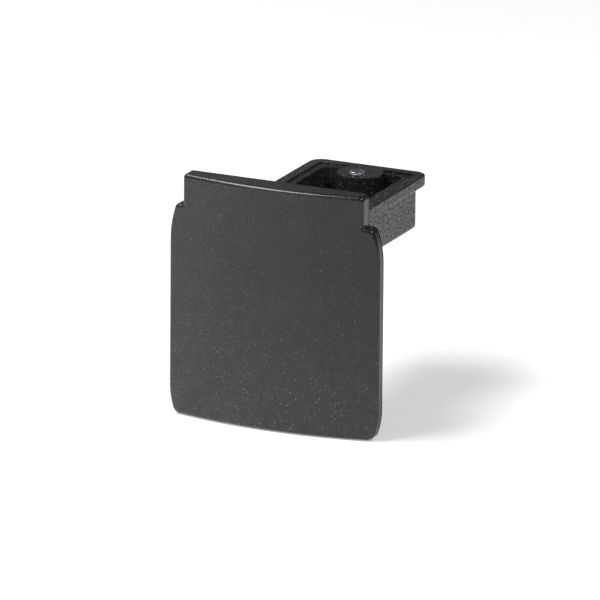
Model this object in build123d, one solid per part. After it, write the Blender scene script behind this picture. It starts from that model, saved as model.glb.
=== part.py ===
"""Profile end cap: a cast cover plate with a T-shaped clamping tongue, and its set screw.

All sizes are in millimetres. The origin lies on the flat back of the cover plate, on the
plane of symmetry and in the middle of the plate's height. +X is to the right of somebody
who looks at the front, +Y runs along the tongue into the profile, and +Z is up.
"""
from build123d import *
import math
import os

# ---- cover plate -----------------------------------------------------------------
plate_height = 60.0
plate_width = 54.8              # below the two ledges
ledge_step = 3.9                # side of the plate in to the side of the upper part
upper_height = 7.8              # top edge down to the ledges
plate_thickness = 6.3           # on the centre line, where the crowned front is thickest
front_radius = 102.0            # crown of the front face, about a vertical axis
front_edge_round = 1.0
top_corner_radius = 1.2
inside_corner_radius = 0.4      # where a ledge meets the upper part
shoulder_height = 9.0           # ledge down to the straight side
shoulder_sweep_radius = 23.5    # long arc of the shoulder, tangent to the side
shoulder_corner_radius = 1.5    # short arc between the long one and the ledge
foot_height = 7.1               # bottom edge up to the straight side
foot_sweep_radius = 17.0
foot_corner_radius = 2.0

# ---- tongue: a flange on top of a narrower box -----------------------------------
tongue_length = 53.6            # from the plate's back face
flange_width = 30.5
flange_overhang = 2.55          # flange past the box, on each side
flange_thickness = 2.9
flange_drop = 9.6               # plate's top edge down to the flange's top face
flange_corner_radius = 3.4      # two far corners, in plan
flange_top_round = 0.3
flange_lower_round = 0.8
box_height = 10.9               # below the flange
box_corner_radius = 3.0         # two far corners, in plan
box_lower_round = 1.0           # two long lower edges and the far one
root_fillet = 0.8               # tongue into plate

# ---- pocket in the top of the tongue ---------------------------------------------
rim_width = 2.75                # raised rim round the pocket
rim_height = 0.5                # rim above the seat
seat_width = 1.9                # flat seat between the rim and the deep pocket
seat_corner_radius = 0.65
pocket_floor = 2.2              # left under the pocket
pocket_draft = 1.0              # degrees on each pocket wall
pocket_corner_radius = 2.4
pocket_floor_round = 0.8

# ---- screw boss ------------------------------------------------------------------
boss_diameter = 11.3
boss_from_end = 7.0             # boss axis to the tongue's far end

# ---- set screw and its bore ------------------------------------------------------
screw_diameter = 4.0
screw_length = 12.0
screw_from_end = 8.9            # screw axis to the tongue's far end
screw_proud = 0.78              # socket end above the flange's top face
screw_clearance = 0.02          # radial, between the screw and its tapped bore
screw_chamfer = 0.3             # at the socket end
socket_across_flats = 2.0
socket_depth = 2.0
point_diameter = 2.4            # outer edge of the cup point
cup_land = 0.2                  # width of the ring round the cup
cup_depth = 0.6
bore_lead_in = 0.25             # 45-degree countersink at both ends of the bore

# ---- modelling aids --------------------------------------------------------------
overcut = 1.0                   # how far a cutting solid runs past the face it opens
close = 1e-4                    # two places nearer than this are the same place

# ---- derived sizes and places ----------------------------------------------------
upper_width = plate_width - 2 * ledge_step
box_width = flange_width - 2 * flange_overhang
top_z = plate_height / 2
bottom_z = -plate_height / 2
ledge_z = top_z - upper_height
flange_top_z = top_z - flange_drop
flange_bottom_z = flange_top_z - flange_thickness
box_bottom_z = flange_bottom_z - box_height
seat_z = flange_top_z - rim_height
pocket_floor_z = box_bottom_z + pocket_floor
boss_y = tongue_length - boss_from_end
screw_y = tongue_length - screw_from_end
screw_top_z = flange_top_z + screw_proud


def swept_corner(side_x, end_z, rise, radius):
    """Arc that leaves the vertical side at end_z + rise and bends inwards until end_z."""
    turn = math.degrees(math.asin(-rise / radius))
    return CenterArc((side_x - radius, end_z + rise), radius, 0, turn)


def round_pair(outline, corner, radius):
    """Round one corner of the outline and its mirror image on the other side."""
    pair = [v for v in outline.vertices()
            if abs(abs(v.X) - corner.X) < close and abs(v.Y - corner.Y) < close]
    fillet(pair, radius)


def plate_outline():
    """Front view of the plate: stepped top, curved shoulders, rounded feet."""
    half = plate_width / 2
    half_top = upper_width / 2
    with BuildSketch(Plane.XZ) as outline:
        with BuildLine():
            foot = swept_corner(half, bottom_z, foot_height, foot_sweep_radius)
            shoulder = swept_corner(half, ledge_z, -shoulder_height, shoulder_sweep_radius)
            Line(foot @ 0, shoulder @ 0)
            Line((0, bottom_z), foot @ 1)
            Polyline(shoulder @ 1, (half_top, ledge_z), (half_top, top_z), (0, top_z))
            mirror(about=Plane.YZ)
        make_face()
        round_pair(outline, foot @ 1, foot_corner_radius)
        round_pair(outline, shoulder @ 1, shoulder_corner_radius)
        round_pair(outline, Vector(half_top, ledge_z), inside_corner_radius)
        round_pair(outline, Vector(half_top, top_z), top_corner_radius)
    return outline.sketch


def cover_plate():
    """Plate with a flat back and a crowned front whose edges are rounded."""
    blank = extrude(plate_outline(), plate_thickness)
    crown = Pos(0, front_radius - plate_thickness, 0) * Cylinder(front_radius, plate_height + 2 * overcut)
    plate = blank & crown
    front = plate.faces().filter_by(GeomType.CYLINDER).sort_by(SortBy.AREA)[-1]
    return fillet(front.edges(), front_edge_round)


def plan_block(width, length, near_y, low_z, high_z, corner_radius, taper=0.0, all_corners=False):
    """Block drawn from above at high_z: its far corners (or all four) are rounded.

    A taper, in degrees, narrows it on the way down to low_z.
    """
    with BuildSketch(Plane.XY.offset(high_z)) as plan:
        with Locations((0, near_y + length / 2)):
            Rectangle(width, length)
        corners = plan.vertices() if all_corners else plan.vertices().group_by(Axis.Y)[-1]
        fillet(corners, corner_radius)
    return extrude(plan.sketch, low_z - high_z, taper=taper)


def edges_behind_plate(solid, level):
    """Level edges of a solid at one height, without those that lie on the plate's back."""
    return [e for e in solid.edges() if abs(e.center().Z - level) < close and e.center().Y > close]


def tongue_bar():
    """Solid T-shaped bar: flange on top, box below, with their outer edges rounded."""
    flange = plan_block(flange_width, tongue_length, 0, flange_bottom_z, flange_top_z, flange_corner_radius)
    flange = fillet(edges_behind_plate(flange, flange_bottom_z), flange_lower_round)
    flange = fillet(edges_behind_plate(flange, flange_top_z), flange_top_round)
    box = plan_block(box_width, tongue_length, 0, box_bottom_z, flange_bottom_z, box_corner_radius)
    box = fillet(edges_behind_plate(box, box_bottom_z), box_lower_round)
    return flange + box


def tongue_pocket():
    """Open space in the tongue: shallow seat inside the rim, and the deep pocket below it."""
    seat_inset = rim_width
    pocket_inset = rim_width + seat_width
    seat = plan_block(flange_width - 2 * seat_inset, tongue_length - 2 * seat_inset, seat_inset,
                      seat_z, flange_top_z + overcut, seat_corner_radius, all_corners=True)
    deep = plan_block(flange_width - 2 * pocket_inset, tongue_length - 2 * pocket_inset, pocket_inset,
                      pocket_floor_z, seat_z, pocket_corner_radius, pocket_draft, all_corners=True)
    deep = fillet(edges_behind_plate(deep, pocket_floor_z), pocket_floor_round)
    return seat + deep


def upright(diameter, y, low_z, high_z):
    """Round upright bar on the plane of symmetry."""
    return Pos(0, y, (low_z + high_z) / 2) * Cylinder(diameter / 2, high_z - low_z)


def screw_bore():
    """Tapped bore right through the boss, with a small lead-in at both ends."""
    diameter = screw_diameter + 2 * screw_clearance
    bore = upright(diameter, screw_y, box_bottom_z - overcut, flange_top_z + overcut)
    lead_in = Cone(diameter / 2 + bore_lead_in, diameter / 2, bore_lead_in)
    top = Pos(0, screw_y, flange_top_z - bore_lead_in / 2) * Rot(180, 0, 0) * lead_in
    bottom = Pos(0, screw_y, box_bottom_z + bore_lead_in / 2) * lead_in
    return bore + top + bottom


def is_tongue_root(edge):
    """True for an edge where the tongue leaves the plate's back."""
    middle = edge.center()
    on_back = abs(middle.Y) < close
    in_width = abs(middle.X) < flange_width / 2 + close
    in_height = box_bottom_z - close < middle.Z < flange_top_z + close
    return on_back and in_width and in_height


def cap_body():
    """The whole casting: cover plate, tongue, pocket, boss and bore."""
    body = cover_plate() + tongue_bar()
    body = fillet([e for e in body.edges() if is_tongue_root(e)], root_fillet)
    boss = upright(boss_diameter, boss_y, box_bottom_z, flange_top_z)
    return body - (tongue_pocket() - boss) - screw_bore()


def clamp_screw():
    """Set screw: hexagon socket in its upper end, cup point at its lower end."""
    low_z = screw_top_z - screw_length
    body = upright(screw_diameter, screw_y, low_z, screw_top_z)
    body = chamfer(body.edges().group_by(Axis.Z)[-1], screw_chamfer)
    point_chamfer = (screw_diameter - point_diameter) / 2
    body = chamfer(body.edges().group_by(Axis.Z)[0], point_chamfer)
    with BuildSketch(Plane.XY.offset(screw_top_z)) as hexagon:
        with Locations((0, screw_y)):
            RegularPolygon(socket_across_flats / 2, 6, major_radius=False)
    socket = extrude(hexagon.sketch, -socket_depth)
    cup = Pos(0, screw_y, low_z + cup_depth / 2) * Cone(point_diameter / 2 - cup_land, 0, cup_depth)
    return body - socket - cup


if __name__ == "__main__":
    os.makedirs("parts", exist_ok=True)
    parts = {"cap_body": cap_body(), "clamp_screw": clamp_screw()}
    for name, shape in parts.items():
        export_step(shape, f"parts/{name}.step")
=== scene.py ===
import math
import bpy
from bpy.props import FloatProperty, FloatVectorProperty, IntProperty, PointerProperty
from mathutils import Euler, Matrix, Vector


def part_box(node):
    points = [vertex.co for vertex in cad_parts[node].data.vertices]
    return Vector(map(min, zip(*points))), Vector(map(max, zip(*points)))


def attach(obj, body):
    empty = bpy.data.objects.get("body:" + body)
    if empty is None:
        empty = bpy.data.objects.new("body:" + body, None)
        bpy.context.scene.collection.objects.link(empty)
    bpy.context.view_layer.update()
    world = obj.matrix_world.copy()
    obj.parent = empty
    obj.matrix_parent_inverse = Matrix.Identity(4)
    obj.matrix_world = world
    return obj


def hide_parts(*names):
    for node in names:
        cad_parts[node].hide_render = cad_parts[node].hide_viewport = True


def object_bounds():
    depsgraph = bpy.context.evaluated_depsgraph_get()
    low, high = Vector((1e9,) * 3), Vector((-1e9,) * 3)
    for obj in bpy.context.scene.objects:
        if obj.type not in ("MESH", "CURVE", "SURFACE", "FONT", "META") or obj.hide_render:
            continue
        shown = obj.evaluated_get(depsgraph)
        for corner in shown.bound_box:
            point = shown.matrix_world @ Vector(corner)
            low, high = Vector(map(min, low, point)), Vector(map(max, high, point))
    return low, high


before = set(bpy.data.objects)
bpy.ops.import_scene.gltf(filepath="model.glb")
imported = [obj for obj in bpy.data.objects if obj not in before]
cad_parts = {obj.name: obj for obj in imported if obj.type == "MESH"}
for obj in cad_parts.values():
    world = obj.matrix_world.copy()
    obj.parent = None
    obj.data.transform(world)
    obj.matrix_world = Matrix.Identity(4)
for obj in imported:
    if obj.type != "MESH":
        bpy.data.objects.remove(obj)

bl_info = {
    "name": "Profile End Cap",
    "version": (1, 0, 0),
    "blender": (4, 5, 0),
    "location": "View3D > Sidebar > End Cap",
    "description": "Coats the casting of a profile end cap, models its set screw and sets the stage",
    "category": "Object",
}

cad_low, cad_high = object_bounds()
screw_low, screw_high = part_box("clamp_screw")
mm = 0.001
SETTINGS = "end_cap"

FEW_CELL = 0.75 * mm            # a cell of this width holds one large speck at most
MANY_CELL = 0.36 * mm           # and one of this width a single fine speck
THREAD_DEPTH = 0.6134           # of a metric thread, in pitches
BLANK_OVERSIZE = 1.02           # screw blank against the thread's outer diameter
JOIN_DISTANCE = 1e-6            # points nearer than this are the same point
FLOOR_GLOW = 0.32               # white that the camera and reflections see on the floor
WORLD_LIGHT = 0.13              # grey that the surroundings light the part with

# name, direction from the part, distance, width, height, radiance
LAMPS = (
    ("key_lamp", (-0.43, -0.27, 0.86), 1.0, 0.60, 0.34, 15.0),
    ("right_lamp", (0.63, -0.19, 0.75), 1.0, 0.22, 0.22, 25.0),
    ("front_lamp", (-0.30, -0.93, 0.20), 1.5, 0.8, 0.8, 1.0),
)


# ---- sizes and colours a user would change ----------------------------------------

class CoatSettings(bpy.types.PropertyGroup):
    """Finish of the casting."""
    color: FloatVectorProperty(
        name="Coat colour", description="Colour of the satin coat",
        subtype="COLOR", size=4, min=0, max=1, default=(0.019, 0.020, 0.022, 1))
    # this pale colour is dust on the front, and behind the plate it also paints glints on the grain
    speck_color: FloatVectorProperty(
        name="Speck colour", description="Pale specks of dust and bare high spots in the coat",
        subtype="COLOR", size=4, min=0, max=1, default=(0.30, 0.30, 0.31, 1))
    roughness: FloatProperty(
        name="Roughness", description="Roughness of the coat on the smooth cover plate",
        subtype="FACTOR", min=0, max=1, default=0.22)
    peel_size: FloatProperty(
        name="Peel size", description="Width of the soft waves in the coat",
        unit="LENGTH", min=0, default=1.3 * mm)
    grain_size: FloatProperty(
        name="Grain size", description="Width of the coarse grains of the as-cast surfaces",
        unit="LENGTH", min=0, default=0.8 * mm)
    grain_depth: FloatProperty(
        name="Grain depth", description="Depth of the grain on the tongue",
        unit="LENGTH", min=0, default=0.22 * mm)


class ScrewSettings(bpy.types.PropertyGroup):
    """Sizes of the set screw. Its ends and its axis are those of the part."""
    pitch: FloatProperty(
        name="Pitch", description="Rise of the thread in one turn",
        unit="LENGTH", min=0, default=0.7 * mm)
    chamfer: FloatProperty(
        name="Chamfer", description="Chamfer at the socket end",
        unit="LENGTH", min=0, default=0.3 * mm)
    point_diameter: FloatProperty(
        name="Point diameter", description="Outer edge of the cup point",
        unit="LENGTH", min=0, default=2.4 * mm)
    cup_diameter: FloatProperty(
        name="Cup diameter", description="Mouth of the hollow in the point",
        unit="LENGTH", min=0, default=2.0 * mm)
    cup_depth: FloatProperty(
        name="Cup depth", description="Depth of the hollow in the point",
        unit="LENGTH", min=0, default=0.6 * mm)
    socket_width: FloatProperty(
        name="Socket width", description="Hexagon socket, across its flats",
        unit="LENGTH", min=0, default=2.0 * mm)
    socket_depth: FloatProperty(
        name="Socket depth", description="Depth of the hexagon socket",
        unit="LENGTH", min=0, default=2.0 * mm)
    steps: IntProperty(
        name="Steps", description="Facets in one turn of the thread", min=12, default=64)
    color: FloatVectorProperty(
        name="Steel colour", description="Colour of the plated steel",
        subtype="COLOR", size=4, min=0, max=1, default=(0.72, 0.75, 0.78, 1))


class StageSettings(bpy.types.PropertyGroup):
    """Floor, lamps and camera."""
    azimuth: FloatProperty(
        name="Azimuth", description="Camera's direction, to the right of straight ahead of the front",
        subtype="ANGLE", default=math.radians(24.64))
    elevation: FloatProperty(
        name="Elevation", description="Camera's height above the horizon",
        subtype="ANGLE", default=math.radians(16.73))
    roll: FloatProperty(
        name="Roll", description="Turn of the camera about its own axis",
        subtype="ANGLE", default=math.radians(0.48))
    distance: FloatProperty(
        name="Distance", description="Camera to the point it looks at",
        unit="LENGTH", default=2.337)
    lens: FloatProperty(
        name="Lens", description="Focal length in millimetres", min=1, default=591.0)
    target: FloatVectorProperty(
        name="Target", description="Point the camera looks at",
        subtype="TRANSLATION", unit="LENGTH", default=(5.73 * mm, 0, 1.53 * mm))
    floor_gap: FloatProperty(
        name="Floor gap", description="Floor below the lowest point of the part",
        unit="LENGTH", default=0.2 * mm)


class EndCapSettings(bpy.types.PropertyGroup):
    """All settings of the end cap."""
    coat: PointerProperty(name="Coat", description="Finish of the casting", type=CoatSettings)
    screw: PointerProperty(name="Screw", description="Sizes of the set screw", type=ScrewSettings)
    stage: PointerProperty(name="Stage", description="Floor, lamps and camera", type=StageSettings)


def settings(context):
    return getattr(context.scene, SETTINGS)


# ---- small helpers for materials --------------------------------------------------

class Nodes:
    """Short way to add and join the nodes of one material."""

    def __init__(self, name):
        self.material = bpy.data.materials.new(name)
        self.material.use_nodes = True
        self.tree = self.material.node_tree
        self.tree.nodes.clear()
        self.output = self.tree.nodes.new("ShaderNodeOutputMaterial")

    def add(self, kind, inputs=None, **settings_of_node):
        """New node. Inputs map socket names to a constant or to another node's output."""
        node = self.tree.nodes.new("ShaderNode" + kind)
        for key, value in settings_of_node.items():
            setattr(node, key, value)
        for key, value in (inputs or {}).items():
            socket = node.inputs[key]
            if isinstance(value, bpy.types.NodeSocket):
                self.tree.links.new(value, socket)
            else:
                socket.default_value = value
        return node

    def math(self, operation, *values):
        node = self.add("Math", dict(enumerate(values)), operation=operation)
        return node.outputs[0]

    def ramp(self, value, low, high, to_low=0.0, to_high=1.0):
        """Smooth change from to_low to to_high while the value goes from low to high."""
        node = self.add("MapRange", {"Value": value, "From Min": low, "From Max": high,
                                     "To Min": to_low, "To Max": to_high},
                        interpolation_type="SMOOTHSTEP")
        return node.outputs["Result"]

    def mix(self, factor, a, b):
        """Blend of two colours."""
        node = self.add("Mix", data_type="RGBA")
        for socket, value in zip((node.inputs[0], node.inputs[6], node.inputs[7]), (factor, a, b)):
            if isinstance(value, bpy.types.NodeSocket):
                self.tree.links.new(value, socket)
            else:
                socket.default_value = value
        return node.outputs[2]

    def noise(self, place, size, detail=2.0, roughness=0.5):
        node = self.add("TexNoise", {"Vector": place, "Scale": 1 / size, "Detail": detail,
                                     "Roughness": roughness})
        return node.outputs["Fac"]

    def finish(self, shader):
        self.tree.links.new(shader, self.output.inputs["Surface"])
        return self.material


def give_material(obj, material):
    """Puts one material on a whole piece."""
    if not obj.material_slots:
        obj.data.materials.append(material)
    for material_slot in obj.material_slots:
        material_slot.material = material


# ---- small helpers for modelling --------------------------------------------------

def deselect_all():
    bpy.ops.object.select_all(action="DESELECT")


def edit(obj, select="SELECT"):
    """Opens one piece in edit mode with all of it selected, or none of it."""
    deselect_all()
    obj.select_set(True)
    bpy.context.view_layer.objects.active = obj
    bpy.ops.object.mode_set(mode="EDIT")
    bpy.ops.mesh.select_mode(type="VERT")
    bpy.ops.mesh.select_all(action=select)


def leave_edit():
    bpy.ops.object.mode_set(mode="OBJECT")


def place_in_mesh(obj):
    """Moves a piece's place into its mesh, so that its object sits at the origin."""
    deselect_all()
    obj.select_set(True)
    bpy.context.view_layer.objects.active = obj
    bpy.ops.object.transform_apply(location=True, rotation=True, scale=True)


def apply_modifier(obj, kind, **options):
    """Adds a modifier with these options and applies it."""
    deselect_all()
    obj.select_set(True)
    bpy.context.view_layer.objects.active = obj
    bpy.ops.object.modifier_add(type=kind)
    modifier = obj.modifiers[-1]
    for key, value in options.items():
        setattr(modifier, key, value)
    bpy.ops.object.modifier_apply(modifier=modifier.name)


def select_edges(obj, wanted):
    """Selects, in edit mode, the edges whose two end points both pass a test."""
    bpy.ops.mesh.select_mode(type="EDGE")
    leave_edit()
    points = obj.data.vertices
    for e in obj.data.edges:
        e.select = all(wanted(points[i].co) for i in e.vertices)
    bpy.ops.object.mode_set(mode="EDIT")


def cut(obj, tool, operation):
    """Combines a piece with a tool, and removes the tool."""
    apply_modifier(obj, "BOOLEAN", operation=operation, object=tool, solver="EXACT")
    bpy.data.objects.remove(tool)


def clean_mesh(obj):
    """Joins points that nearly coincide, and turns all faces outward."""
    edit(obj)
    bpy.ops.mesh.remove_doubles(threshold=JOIN_DISTANCE)
    bpy.ops.mesh.dissolve_degenerate(threshold=JOIN_DISTANCE)
    bpy.ops.mesh.normals_make_consistent(inside=False)
    leave_edit()


# ---- coat of the casting --------------------------------------------------------

def specks(nodes, place, size, share, softness):
    """Mask of scattered round specks; share is the part of the cells that hold one."""
    cells = nodes.add("TexVoronoi", {"Vector": place, "Scale": 1 / size, "Randomness": 1.0})
    dot = nodes.ramp(cells.outputs["Distance"], 0.18, 0.18 + softness, 1.0, 0.0)
    split = nodes.add("SeparateColor", {"Color": cells.outputs["Color"]})
    chosen = nodes.math("LESS_THAN", split.outputs["Red"], share)
    strength = nodes.ramp(split.outputs["Green"], 0.0, 1.0, 0.35, 1.0)
    return nodes.math("MULTIPLY", nodes.math("MULTIPLY", dot, chosen), strength)


def coated_casting(coat):
    """Satin coat over a die casting: smooth on the cover, grainy on the tongue."""
    nodes = Nodes("coated_casting")
    place = nodes.add("TexCoord").outputs["Object"]
    axes = nodes.add("SeparateXYZ", {"Vector": place})
    behind = nodes.ramp(axes.outputs["Y"], -0.6 * mm, 0.1 * mm)
    low_down = nodes.ramp(axes.outputs["Z"], 12 * mm, -26 * mm)

    # colour: cloudy coat with scattered pale specks, thicker low on the front; behind the plate the specks
    # are painted glints
    clouds = nodes.noise(place, 9 * mm, 3.0)
    patches = nodes.noise(place, 2.2 * mm, 4.0, 0.65)
    cloud_tint = nodes.ramp(clouds, 0.3, 0.7, 0.88, 1.12)
    patch_tint = nodes.ramp(patches, 0.3, 0.7, 0.90, 1.10)
    fine_tint = nodes.ramp(nodes.noise(place, 0.35 * mm, 2.0), 0.3, 0.7, 0.45, 1.55)
    # painted shading: the whole casting is coloured lighter towards -X and darker towards +X, as the light
    # falls across the curved front
    painted_side_shade = nodes.ramp(axes.outputs["X"], 25 * mm, -25 * mm, 0.65, 1.40)
    tint = nodes.math("MULTIPLY", cloud_tint, patch_tint)
    tint = nodes.math("MULTIPLY", tint, nodes.math("MULTIPLY", fine_tint, painted_side_shade))
    tinted = nodes.add("VectorMath", {0: coat.color[:3], "Scale": tint}, operation="SCALE")
    drift = nodes.ramp(patches, 0.38, 0.62)
    dusty = nodes.math("MULTIPLY", low_down, drift)
    # large specks: dust on the front; behind the plate their share and strength rise, and there they are
    # painted glints
    speck_and_glint_share = nodes.math("MULTIPLY_ADD", dusty, 0.30, nodes.math("MULTIPLY_ADD", behind, 0.45, 0.05))
    specks_and_glints = specks(nodes, place, FEW_CELL, speck_and_glint_share, 0.14)
    many = specks(nodes, place, MANY_CELL, nodes.math("MULTIPLY_ADD", dusty, 0.60, 0.04), 0.22)
    scuffs = nodes.math("MULTIPLY", nodes.ramp(nodes.noise(place, 0.45 * mm, 5.0, 0.8), 0.52, 0.66), dusty)
    low_or_behind = nodes.math("MAXIMUM", low_down, behind)
    speck_and_glint_strength = nodes.math("MULTIPLY", specks_and_glints, nodes.ramp(low_or_behind, 0.0, 1.0, 0.22, 0.55))
    # a faint even lightening of the coat towards the bottom
    low_lightening = nodes.math("MULTIPLY", low_down, 0.03)
    dust_and_glints = nodes.math("MAXIMUM", speck_and_glint_strength, nodes.math("MULTIPLY", many, 0.30))
    dust_and_glints = nodes.math("MAXIMUM", dust_and_glints, nodes.math("MULTIPLY_ADD", scuffs, 0.16, low_lightening))
    color = nodes.mix(dust_and_glints, tinted.outputs["Vector"], coat.speck_color)

    # relief: soft peel everywhere, coarse grain behind the plate
    peel = nodes.noise(place, coat.peel_size, 2.0)
    fine = nodes.noise(place, 0.22 * mm, 3.0, 0.6)
    grain = nodes.noise(place, coat.grain_size, 4.0, 0.7)
    peel_bump = nodes.add("Bump", {"Height": peel, "Strength": 0.5, "Distance": 0.03 * mm})
    fine_bump = nodes.add("Bump", {"Height": fine, "Strength": 0.5, "Distance": 0.02 * mm,
                                   "Normal": peel_bump.outputs["Normal"]})
    grain_height = nodes.math("MULTIPLY", grain, behind)
    grain_bump = nodes.add("Bump", {"Height": grain_height, "Strength": 1.0,
                                    "Distance": coat.grain_depth,
                                    "Normal": fine_bump.outputs["Normal"]})

    roughness = nodes.ramp(patches, 0.3, 0.7, coat.roughness - 0.05, coat.roughness + 0.05)
    roughness = nodes.math("MULTIPLY_ADD", behind, -0.06, roughness)
    pits = nodes.ramp(grain, 0.40, 0.60, 0.04, 0.40)
    even = nodes.math("SUBTRACT", 1.0, behind)
    gloss = nodes.math("MULTIPLY_ADD", pits, behind, nodes.math("MULTIPLY", even, 0.42))
    shader = nodes.add("BsdfPrincipled", {
        "Base Color": color, "Roughness": roughness, "Normal": grain_bump.outputs["Normal"],
        "IOR": 1.5, "Specular IOR Level": gloss})
    return nodes.finish(shader.outputs["BSDF"])


class ENDCAP_OT_coat_casting(bpy.types.Operator):
    """Coat the casting in its satin finish"""
    bl_idname = "endcap.coat_casting"
    bl_label = "Coat Casting"

    def execute(self, context):
        give_material(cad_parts["cap_body"], coated_casting(settings(context).coat))
        return {"FINISHED"}


# ---- set screw --------------------------------------------------------------------

def thread(sizes, radius, bottom, top):
    """Solid thread between two heights: one tooth's outline wound up a helix."""
    pitch = sizes.pitch
    root = radius - THREAD_DEPTH * pitch
    root_flat = pitch / 4
    crest_flat = pitch / 8
    rise = (pitch - root_flat - crest_flat) / 2
    bpy.ops.mesh.primitive_plane_add(size=pitch, location=(0, 0, 0))
    obj = bpy.context.object
    obj.name = "clamp_screw_thread"
    edit(obj)
    bpy.ops.mesh.merge(type="CENTER")
    bpy.ops.transform.translate(value=(root, 0, bottom - 2 * pitch))
    outline = ((0, 0, root_flat), (radius - root, 0, rise), (0, 0, crest_flat), (root - radius, 0, rise))
    for step in outline:
        bpy.ops.mesh.extrude_region_move(TRANSFORM_OT_translate={"value": step})
    leave_edit()
    turns = math.ceil((top - bottom) / pitch) + 4
    apply_modifier(obj, "SCREW", axis="Z", screw_offset=pitch, iterations=turns,
                   steps=sizes.steps, render_steps=sizes.steps,
                   use_merge_vertices=True, merge_threshold=1e-7)
    edit(obj)
    bpy.ops.mesh.remove_doubles(threshold=1e-7)
    for height, direction in ((bottom, -1), (top, 1)):
        bpy.ops.mesh.select_all(action="SELECT")
        bpy.ops.mesh.bisect(plane_co=(0, 0, height), plane_no=(0, 0, direction),
                            use_fill=True, clear_outer=True)
    bpy.ops.mesh.select_all(action="SELECT")
    bpy.ops.mesh.normals_make_consistent(inside=False)
    leave_edit()
    return obj


def round_bar(name, radius, bottom, top, sides):
    """Upright bar between two heights."""
    bpy.ops.mesh.primitive_cylinder_add(vertices=sides, radius=radius, depth=top - bottom,
                                        location=(0, 0, (top + bottom) / 2))
    obj = bpy.context.object
    obj.name = name
    place_in_mesh(obj)
    return obj


def bevel_ring(obj, height, width):
    """Chamfers the ring of edges at one height."""
    edit(obj, "DESELECT")
    select_edges(obj, lambda point: abs(point.z - height) < 1e-7)
    bpy.ops.mesh.bevel(offset=width, offset_type="OFFSET", segments=1, affect="EDGES")
    leave_edit()


def screw_blank(sizes, radius, bottom, top):
    """Plain screw a little wider than its thread; both ends have the part's own sizes."""
    wide = radius * BLANK_OVERSIZE
    blank = round_bar("clamp_screw_blank", wide, bottom, top, 2 * sizes.steps)
    bevel_ring(blank, top, wide - radius + sizes.chamfer)
    bevel_ring(blank, bottom, wide - sizes.point_diameter / 2)
    return blank


def socket_tool(sizes, top):
    """What the hexagon socket takes out, with two of its corners on the X axis."""
    reach = 1 * mm
    corner = sizes.socket_width / 2 / math.cos(math.pi / 6)
    tool = round_bar("clamp_screw_socket", corner, top - sizes.socket_depth, top + reach, 6)
    tool.rotation_euler.z = math.pi / 6
    place_in_mesh(tool)
    return tool


def cup_tool(sizes, bottom):
    """What the cup takes out of the point."""
    bpy.ops.mesh.primitive_cone_add(vertices=sizes.steps, radius1=sizes.cup_diameter / 2, radius2=0,
                                    depth=sizes.cup_depth,
                                    location=(0, 0, bottom + sizes.cup_depth / 2))
    tool = bpy.context.object
    tool.name = "clamp_screw_cup"
    place_in_mesh(tool)
    edit(tool, "DESELECT")
    bpy.ops.mesh.select_mode(type="FACE")
    leave_edit()
    for face in tool.data.polygons:
        face.select = face.normal.z < -0.9
    bpy.ops.object.mode_set(mode="EDIT")
    bpy.ops.mesh.extrude_region_move(TRANSFORM_OT_translate={"value": (0, 0, -0.5 * mm)})
    leave_edit()
    return tool


def plated_steel(screw):
    """Bright zinc-plated steel with the fine marks of its making."""
    nodes = Nodes("plated_steel")
    place = nodes.add("TexCoord").outputs["Object"]
    stains = nodes.noise(place, 0.9 * mm, 3.0, 0.6)
    marks = nodes.noise(place, 0.16 * mm, 4.0, 0.7)
    tint = nodes.ramp(stains, 0.35, 0.65, 0.82, 1.0)
    color = nodes.add("VectorMath", {0: screw.color[:3], "Scale": tint}, operation="SCALE")
    roughness = nodes.ramp(stains, 0.3, 0.7, 0.24, 0.38)
    bump = nodes.add("Bump", {"Height": marks, "Strength": 0.5, "Distance": 0.02 * mm})
    shader = nodes.add("BsdfPrincipled", {
        "Base Color": color.outputs["Vector"], "Metallic": 1.0, "Roughness": roughness,
        "Normal": bump.outputs["Normal"]})
    return nodes.finish(shader.outputs["BSDF"])


class ENDCAP_OT_set_screw(bpy.types.Operator):
    """Model the set screw with its thread, socket and cup point"""
    bl_idname = "endcap.set_screw"
    bl_label = "Set Screw"

    def execute(self, context):
        sizes = settings(context).screw
        radius = (screw_high.x - screw_low.x) / 2
        bottom, top = screw_low.z, screw_high.z
        overlong = sizes.pitch
        screw = thread(sizes, radius, bottom - overlong, top + overlong)
        cut(screw, screw_blank(sizes, radius, bottom, top), "INTERSECT")
        cut(screw, socket_tool(sizes, top), "DIFFERENCE")
        cut(screw, cup_tool(sizes, bottom), "DIFFERENCE")
        clean_mesh(screw)
        screw.location = ((screw_low.x + screw_high.x) / 2, (screw_low.y + screw_high.y) / 2, 0)
        place_in_mesh(screw)
        bpy.ops.object.shade_smooth_by_angle(angle=math.radians(30))
        give_material(screw, plated_steel(sizes))
        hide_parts("clamp_screw")
        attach(screw, "root")
        return {"FINISHED"}


# ---- stage ------------------------------------------------------------------------

def white_for_camera(nodes, shader, strength):
    """Adds plain white to what the camera and reflections see of a surface."""
    rays = nodes.add("LightPath")
    seen = nodes.math("MAXIMUM", rays.outputs["Is Camera Ray"], rays.outputs["Is Glossy Ray"])
    seen = nodes.math("MAXIMUM", seen, rays.outputs["Is Transmission Ray"])
    glow = nodes.add("Emission", {"Color": (1, 1, 1, 1),
                                  "Strength": nodes.math("MULTIPLY", seen, strength)})
    both = nodes.add("AddShader", {0: shader, 1: glow.outputs["Emission"]})
    return both.outputs["Shader"]


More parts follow.
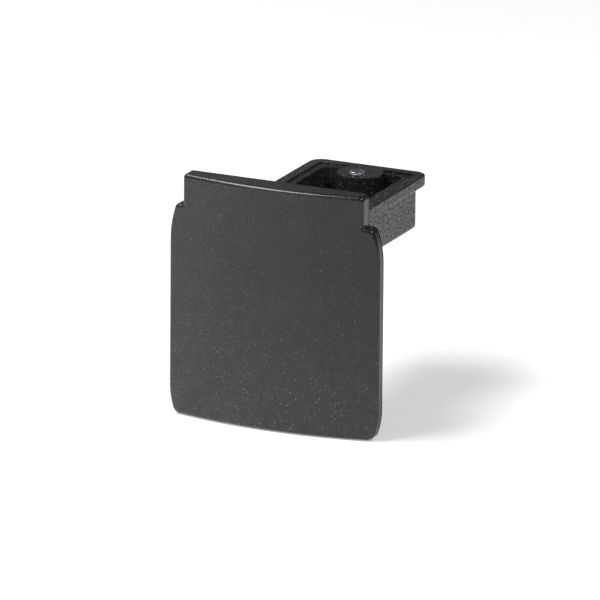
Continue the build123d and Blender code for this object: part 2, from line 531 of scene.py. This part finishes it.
def floor_material():
    nodes = Nodes("studio_floor")
    place = nodes.add("TexCoord").outputs["Object"]
    shade = nodes.ramp(nodes.noise(place, 0.25, 2.0), 0.3, 0.7, 0.78, 0.82)
    color = nodes.add("CombineColor", {"Red": shade, "Green": shade, "Blue": shade})
    paper = nodes.add("BsdfDiffuse", {"Color": color.outputs["Color"]})
    return nodes.finish(white_for_camera(nodes, paper.outputs["BSDF"], FLOOR_GLOW))


def add_floor(stage):
    """Pale floor just below the part."""
    bpy.ops.mesh.primitive_plane_add(size=6, location=(0, 0, cad_low[2] - stage.floor_gap))
    floor = bpy.context.object
    floor.name = "studio_floor"
    place_in_mesh(floor)
    give_material(floor, floor_material())


def add_world():
    """White surroundings for the camera, plain grey light for the part."""
    world = bpy.data.worlds.new("studio_world")
    bpy.context.scene.world = world
    world.use_nodes = True
    tree = world.node_tree
    background = tree.nodes["Background"]
    rays = tree.nodes.new("ShaderNodeLightPath")
    strength = tree.nodes.new("ShaderNodeMapRange")
    tree.links.new(rays.outputs["Is Camera Ray"], strength.inputs["Value"])
    strength.inputs["To Min"].default_value = WORLD_LIGHT
    strength.inputs["To Max"].default_value = 1.0
    background.inputs["Color"].default_value = (1, 1, 1, 1)
    tree.links.new(strength.outputs["Result"], background.inputs["Strength"])


def add_lamp(name, direction, distance, width, height, radiance):
    """Soft rectangular lamp that faces the part from one direction."""
    data = bpy.data.lights.new(name, "AREA")
    data.shape = "RECTANGLE"
    data.size = width
    data.size_y = height
    data.energy = radiance * math.pi * width * height
    lamp = bpy.data.objects.new(name, data)
    away = Vector(direction).normalized()
    lamp.location = away * distance
    lamp.rotation_euler = away.to_track_quat("Z", "Y").to_euler()
    bpy.context.scene.collection.objects.link(lamp)


def add_camera(stage):
    data = bpy.data.cameras.new("camera")
    data.lens = stage.lens
    data.sensor_width = 36
    data.clip_start = 0.05
    data.clip_end = 20
    camera = bpy.data.objects.new("camera", data)
    turn = Euler((math.pi / 2 - stage.elevation, 0, stage.azimuth)).to_matrix()
    turn = turn @ Matrix.Rotation(stage.roll, 3, "Z")
    camera.location = Vector(stage.target) + turn.col[2] * stage.distance
    camera.rotation_euler = turn.to_euler()
    bpy.context.scene.collection.objects.link(camera)
    bpy.context.scene.camera = camera


class ENDCAP_OT_stage(bpy.types.Operator):
    """Set up the floor, the lamps and the camera"""
    bl_idname = "endcap.stage"
    bl_label = "Stage"

    def execute(self, context):
        stage = settings(context).stage
        context.scene.view_settings.view_transform = "Standard"
        add_floor(stage)
        add_world()
        for lamp in LAMPS:
            add_lamp(*lamp)
        add_camera(stage)
        return {"FINISHED"}


# ---- sidebar and registration -----------------------------------------------------

class ENDCAP_PT_panel(bpy.types.Panel):
    """Steps of the end cap, in order"""
    bl_idname = "ENDCAP_PT_panel"
    bl_label = "Profile End Cap"
    bl_space_type = "VIEW_3D"
    bl_region_type = "UI"
    bl_category = "End Cap"

    def draw(self, context):
        cap = settings(context)
        for operator, group in ((ENDCAP_OT_coat_casting, cap.coat), (ENDCAP_OT_set_screw, cap.screw),
                                (ENDCAP_OT_stage, cap.stage)):
            box = self.layout.box()
            box.operator(operator.bl_idname)
            for name in group.bl_rna.properties.keys():
                if name not in {"rna_type", "name"}:
                    box.prop(group, name)


CLASSES = (CoatSettings, ScrewSettings, StageSettings, EndCapSettings, ENDCAP_OT_coat_casting,
           ENDCAP_OT_set_screw, ENDCAP_OT_stage, ENDCAP_PT_panel)


def register():
    for cls in CLASSES:
        bpy.utils.register_class(cls)
    setattr(bpy.types.Scene, SETTINGS, PointerProperty(type=EndCapSettings))


def unregister():
    delattr(bpy.types.Scene, SETTINGS)
    for cls in reversed(CLASSES):
        bpy.utils.unregister_class(cls)


def main():
    register()
    bpy.ops.endcap.coat_casting()
    bpy.ops.endcap.set_screw()
    bpy.ops.endcap.stage()


if __name__ == "__main__":
    main()
